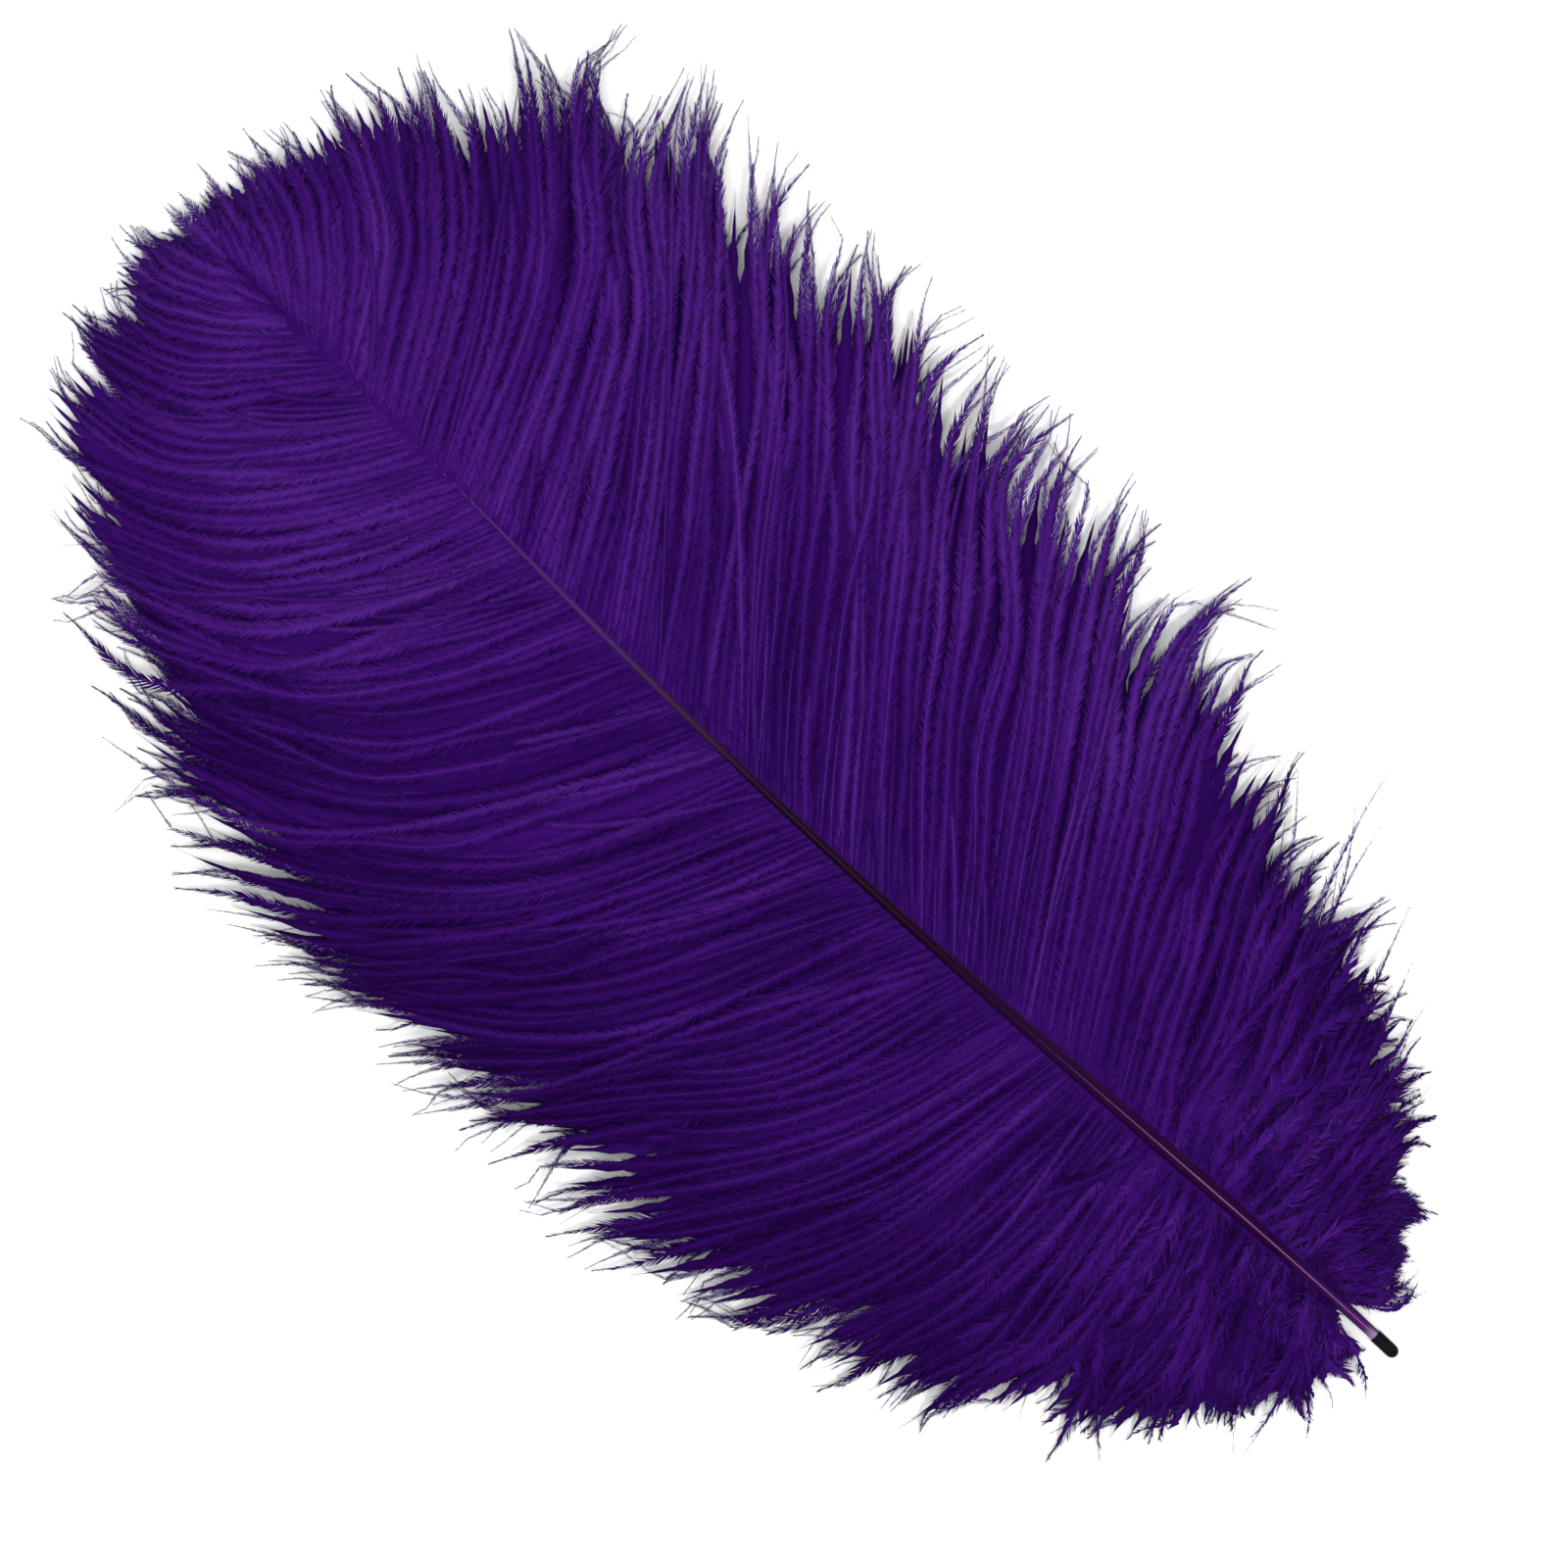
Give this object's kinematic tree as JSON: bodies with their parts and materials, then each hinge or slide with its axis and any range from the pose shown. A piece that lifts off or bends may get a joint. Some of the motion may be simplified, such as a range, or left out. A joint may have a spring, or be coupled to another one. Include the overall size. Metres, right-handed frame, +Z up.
{
  "type": "ostrich feather",
  "caption": "Broad dyed plume lying flat: a slender arched shaft with long soft drooping barbs on both sides and a short black cap on the quill end.",
  "frame": {"origin": "centre of the bounding box's base, on the surface that the feather lies on", "axes": "+X along the shaft from the quill to the tip, +Z up out of the glossy upper side"},
  "size_m": [0.3458, 0.1946, 0.0195],
  "materials": {
    "barbs": "soft matte keratin barbs, dyed deep violet",
    "shaft": "glossy horn, stained dark maroon violet",
    "quill_cap": "black dipped coat, slightly satin"
  },
  "bodies": {
    "root": {"feather": "barbs", "quill_cap": "quill_cap"}
  },
  "joints": []
}
